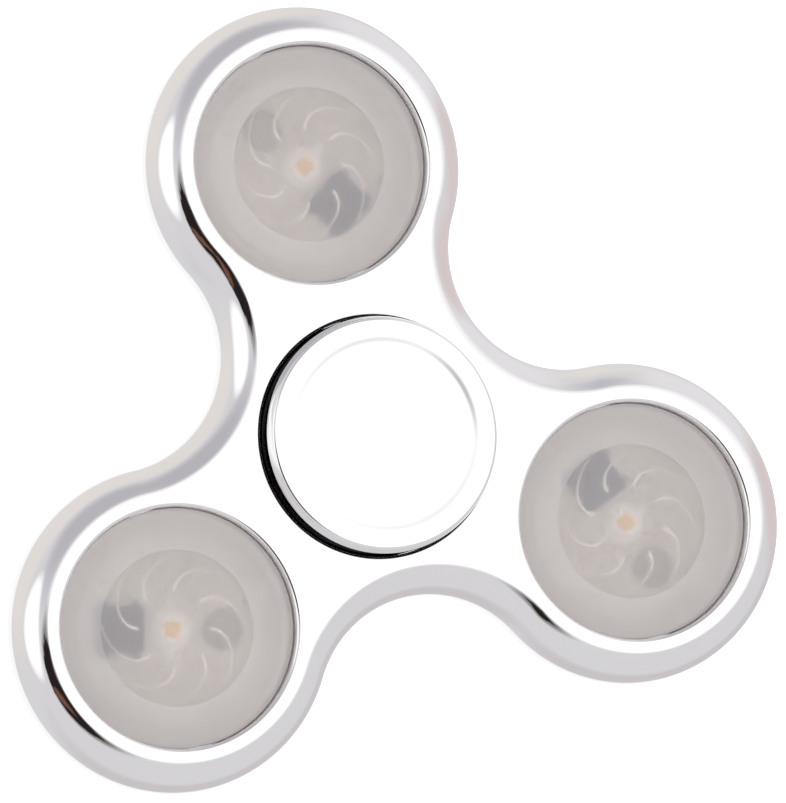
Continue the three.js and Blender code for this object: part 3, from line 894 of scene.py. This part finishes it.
def make_controller(letter):
    """The controller chip under its blob of resin, half an ellipse in section."""
    seat = PART_SEAT
    radius, height = 1.9, 0.62
    profile = [(0, seat), (radius, seat)]
    for k in range(1, 10):
        turn = math.radians(9 * k)
        profile.append((radius * math.cos(turn), seat + height * math.sin(turn)))
    profile.append((0, seat + height))
    blob = lathe(f"chip_blob_{letter}", profile, 48)
    blob.data.transform(Matrix.Translation((-CONTROLLER_DISTANCE * MM, 0, 0)))
    return blob


def make_cell(letter):
    """The coin cell: a can, a crimped groove and a raised lid."""
    can, crimp, lid = 8.0, 7.35, 7.2
    shoulder, groove_floor = CELL_TOP - 0.25, CELL_TOP - 0.3
    profile = rounded(
        [
            (0, CELL_BOTTOM),
            (can, CELL_BOTTOM, 0.3),
            (can, shoulder, 0.1),
            (crimp, shoulder, 0.05),
            (lid, groove_floor, 0.05),
            (lid, CELL_TOP, 0.2),
            (0, CELL_TOP),
        ],
        5,
    )
    return lathe(f"cell_can_{letter}", profile, 120)


def make_contact(letter):
    """Leaf spring with both ends bent up to the board."""
    half, width, thickness, bend = 3.5, 2.4, 0.12, 1.0
    low = CELL_TOP + 0.02
    high = low + 0.22
    route = []
    steps = 32
    for k in range(steps + 1):
        x = -half + 2 * half * k / steps
        distance = min(max((abs(x) - bend) / (half - 2 * bend), 0), 1)
        blend = distance * distance * (3 - 2 * distance)
        route.append((x, low + (high - low) * blend))
    vertices, faces = [], []
    for x, z in route:
        narrow = width / 2 * (1 - 0.25 * (abs(x) / half) ** 2)
        vertices += [(x, -narrow, z), (x, narrow, z), (x, narrow, z + thickness), (x, -narrow, z + thickness)]
    for k in range(len(route) - 1):
        for side in range(4):
            a, b = 4 * k + side, 4 * k + (side + 1) % 4
            faces.append((a, b, b + 4, a + 4))
    last = 4 * (len(route) - 1)
    faces += [(3, 2, 1, 0), (last, last + 1, last + 2, last + 3)]
    return new_object(f"contact_leaf_{letter}", vertices, faces)


def make_clip(letter):
    """A curved brass strip that grips the cell's side."""
    inner, outer, half = 8.2, 8.5, 22
    steps = 24
    front = [polar(outer, -half + 2 * half * k / steps) for k in range(steps + 1)]
    back = [polar(inner, half - 2 * half * k / steps) for k in range(steps + 1)]
    return prism(f"clip_strip_{letter}", front + back, CLIP_BOTTOM, CLIP_TOP, bevel=0.04)


def make_door(letter):
    """Rear cover: a raised rim, a coin slot and a stepped screw hole."""
    radius, rim_inner, recess_radius = 10.35, 8.7, 8.6
    recess = DOOR_BOTTOM + 0.1
    door = lathe(
        f"door_cover_{letter}",
        rounded(
            [
                (0, recess),
                (recess_radius, recess, 0.05),
                (rim_inner, DOOR_BOTTOM, 0.05),
                (radius, DOOR_BOTTOM, 0.12),
                (radius, DOOR_TOP, 0.08),
                (0, DOOR_TOP),
            ],
            4,
        ),
    )
    slot = prism("slot_cutter", rounded_rectangle(1.6, 12.0, 0.78), DOOR_BOTTOM - 1, DOOR_BOTTOM + 0.35)
    cut(door, slot)
    below = DOOR_BOTTOM - 1
    holes = (("head_cutter", 0.95, DOOR_BOTTOM + 0.58, 48), ("shank_cutter", 0.52, DOOR_TOP + 1, 32))
    for name, size, top, segments in holes:
        cutter = lathe(name, [(0, below), (size, below), (size, top), (0, top)], segments)
        cutter.data.transform(Matrix.Translation((-SCREW_DISTANCE * MM, 0, 0)))
        cut(door, cutter)
    return door


def make_screw(letter):
    """A cross-head screw with a ringed thread and a pointed tip."""
    head, head_height = 0.85, 0.5
    thread, core, pitch, turns = 0.42, 0.34, 0.25, 6
    face = DOOR_BOTTOM + 0.05
    under = face + head_height
    profile = [(0, face, 0), (head, face, 0.12), (head, under, 0.05), (thread, under, 0.03)]
    for k in range(turns):
        z = face + 0.7 + pitch * k
        profile += [(thread, z), (core, z + 0.12)]
    profile += [(0.2, face + 2.3), (0, face + 2.4)]
    screw = lathe(f"door_screw_{letter}", rounded(profile, 4), 48)
    for turn in (0, 90):
        slot = prism("cross_cutter", rounded_rectangle(1.0, 0.24, 0.05), face - 1, face + 0.25)
        slot.data.transform(Matrix.Rotation(math.radians(turn), 4, "Z"))
        cut(screw, slot)
    screw.data.transform(Matrix.Translation((-SCREW_DISTANCE * MM, 0, 0)))
    return screw


MODULE_PIECES = [
    # maker, node, slot, materials if not the slot's own, rides on the lens
    (make_lens, "led_lens", "lens_plastic", LENS_LOOKS, True),
    (make_housing, "module_housing", "housing_plastic", None, False),
    (make_board, "circuit_board", "circuit_board", None, False),
    (make_pads, None, "contact_brass", ["solder"], False),
    (make_led, "led", "led_resin", None, False),
    (make_die, None, "led_resin", ["led_phosphor"], False),
    (make_switch, "mode_switch", "switch_plastic", None, False),
    (make_plunger, "switch_plunger", "switch_plastic", None, True),
    (make_controller, "controller", "chip_resin", None, False),
    (make_cell, "coin_cell", "cell_steel", None, False),
    (make_contact, "battery_contact", "contact_brass", None, False),
    (make_clip, "battery_clip", "contact_brass", None, False),
    (make_door, "battery_door", "housing_plastic", None, False),
    (make_screw, "battery_door_screw", "screw_steel", None, False),
]


def make_module(letter):
    angle, turn = LOBES[letter]
    x, y = polar(LOBE_DISTANCE, angle)
    place = Matrix.Translation((x * MM, y * MM, 0)) @ Matrix.Rotation(math.radians(turn), 4, "Z")
    for maker, node, slot, looks, pressed in MODULE_PIECES:
        piece = maker(letter)
        piece.data.transform(place)
        body = f"lens_button_{letter}" if pressed else "rotor"
        finish_piece(piece, body, slot, f"{node}_{letter}" if node else None, looks)


make_body()
make_caps()
make_bearing()
for lobe_letter in LOBES:
    make_module(lobe_letter)

# ---------------------------------------------------------------- floor and light

FLOOR_GLOW = 0.75  # keeps the backdrop white
FLOOR_DROP = 0.1 * MM


def make_floor():
    """A plain white floor, which the chrome doesn't mirror."""
    size = 3.0
    mesh = bpy.data.meshes.new("floor")
    corners = [(-size, -size, 0), (size, -size, 0), (size, size, 0), (-size, size, 0)]
    mesh.from_pydata(corners, [], [(0, 1, 2, 3)])
    floor = bpy.data.objects.new("floor", mesh)
    bpy.context.scene.collection.objects.link(floor)
    floor.location.z = -FLOOR_DROP
    m = Nodes("floor_white")
    m.link(m.ramp(m.noise(6, 2), (0.9, 0.9, 0.9), (0.92, 0.92, 0.92)), m.shader.inputs["Base Color"])
    m.set(Roughness=0.9, Emission_Strength=FLOOR_GLOW, Emission_Color=(1, 1, 1, 1))
    floor.visible_glossy = False
    floor.data.materials.append(m.material)


def sky_direction(inclination, azimuth):
    """A direction by its angle from the zenith and its bearing from +X."""
    low, turn = math.radians(inclination), math.radians(azimuth)
    return Vector((math.sin(low) * math.cos(turn), math.sin(low) * math.sin(turn), math.cos(low)))


SKY_BASE = (0.69, 0.68, 0.70)

# Soft elliptical areas of the studio tent, each laid over those before it. Angles are degrees: the
# centre's angle from the zenith and bearing from +X, the half sizes along and across that bearing, and
# the ellipse's own turn. Softness is the width of its edge, and raggedness how far noise breaks it up.
SKY_AREAS = [
    # name, colour, inclination, azimuth, along, across, turn, softness, raggedness
    ("ground_beige", (0.78, 0.745, 0.715), 125, 110, 32, 60, 0, 0.6, 0),
    ("ground_cool", (0.60, 0.575, 0.59), 134, 290, 22, 60, 0, 0.7, 0),
    ("ground_white", (1.0, 1.0, 1.0), 180, 0, 31, 31, 0, 0.2, 0),
    ("north_wall", (0.495, 0.48, 0.51), 50, 96, 34, 30, 0, 0.8, 0),
    ("east_wall", (0.79, 0.775, 0.79), 85, 32, 44, 22, 0, 0.6, 0),
    ("rosy_wall", (0.69, 0.60, 0.595), 98, 358, 34, 16, 0, 0.8, 0),
    ("ceiling", (1.0, 0.99, 1.0), 23, 15, 30, 17, 0, 0.9, 0),
    ("softbox", (1.16, 1.16, 1.16), 17, 5, 13, 11, 0, 0.4, 0),
    ("window", (1.08, 1.08, 1.08), 68, 163, 29, 23, 0, 0.35, 0),
    ("shade", (0.26, 0.25, 0.25), 18, 208, 22, 17, -14, 0.4, 0),
    ("photographer", (0.020, 0.015, 0.015), 18.5, 206, 20, 13, -18, 0.1, 1.3),
    ("sleeve", (0.17, 0.08, 0.05), 24, 208, 12, 3.2, -25, 0.3, 3.0),
]


def make_world():
    """A white studio tent with soft tinted areas, which the chrome mirrors."""
    world = bpy.data.worlds.new("studio")
    bpy.context.scene.world = world
    world.use_nodes = True
    tree = world.node_tree
    background = tree.nodes["Background"]
    direction = tree.nodes.new("ShaderNodeTexCoord").outputs["Generated"]

    def maths(operation, *inputs):
        node = tree.nodes.new("ShaderNodeMath")
        node.operation = operation
        for socket, value in zip(node.inputs, inputs):
            if isinstance(value, (int, float)):
                socket.default_value = value
            else:
                tree.links.new(value, socket)
        return node.outputs[0]

    def along_axis(axis):
        node = tree.nodes.new("ShaderNodeVectorMath")
        node.operation = "DOT_PRODUCT"
        node.inputs[1].default_value = axis
        tree.links.new(direction, node.inputs[0])
        return node.outputs["Value"]

    streaks = tree.nodes.new("ShaderNodeTexNoise")
    streaks.inputs["Scale"].default_value = 16.0
    streaks.inputs["Detail"].default_value = 5.0
    tree.links.new(direction, streaks.inputs["Vector"])
    uneven = maths("SUBTRACT", streaks.outputs["Fac"], 0.5)
    colour = None
    for _, value, inclination, azimuth, along, across, turn, soft, ragged in SKY_AREAS:
        centre = sky_direction(inclination, azimuth)
        radial = (sky_direction(inclination + 1, azimuth) - centre).normalized()
        radial.rotate(Matrix.Rotation(math.radians(turn), 3, centre))
        total = maths("MULTIPLY", uneven, ragged)
        for axis, half in ((radial, along), (centre.cross(radial), across)):
            share = maths("DIVIDE", along_axis(axis), math.sin(math.radians(half)))
            total = maths("ADD", total, maths("POWER", share, 2))
        fade = tree.nodes.new("ShaderNodeMapRange")
        fade.interpolation_type = "SMOOTHSTEP"
        fade.inputs["From Min"].default_value = 1 + soft
        fade.inputs["From Max"].default_value = 1 - soft
        tree.links.new(total, fade.inputs["Value"])
        amount = maths("MULTIPLY", fade.outputs["Result"], maths("GREATER_THAN", along_axis(centre), 0))
        mix = tree.nodes.new("ShaderNodeMix")
        mix.data_type = "RGBA"
        tree.links.new(amount, mix.inputs["Factor"])
        mix.inputs["A"].default_value = (*SKY_BASE, 1)
        mix.inputs["B"].default_value = (*value, 1)
        if colour:
            tree.links.new(colour, mix.inputs["A"])
        colour = mix.outputs["Result"]
    tree.links.new(colour, background.inputs["Color"])


def make_lights():
    """A broad overhead softbox for the floor and plastics; the chrome doesn't mirror it."""
    data = bpy.data.lights.new("overhead", "AREA")
    data.shape = "DISK"
    data.size = 1.6
    data.energy = 6.0
    light = bpy.data.objects.new("overhead", data)
    bpy.context.scene.collection.objects.link(light)
    light.location = (0.1, -0.1, 1.2)
    light.rotation_euler = (Vector((0, 0, 0)) - light.location).to_track_quat("-Z", "Y").to_euler()
    light.visible_glossy = False


make_floor()
make_world()
make_lights()
bpy.context.scene.view_settings.view_transform = "Standard"
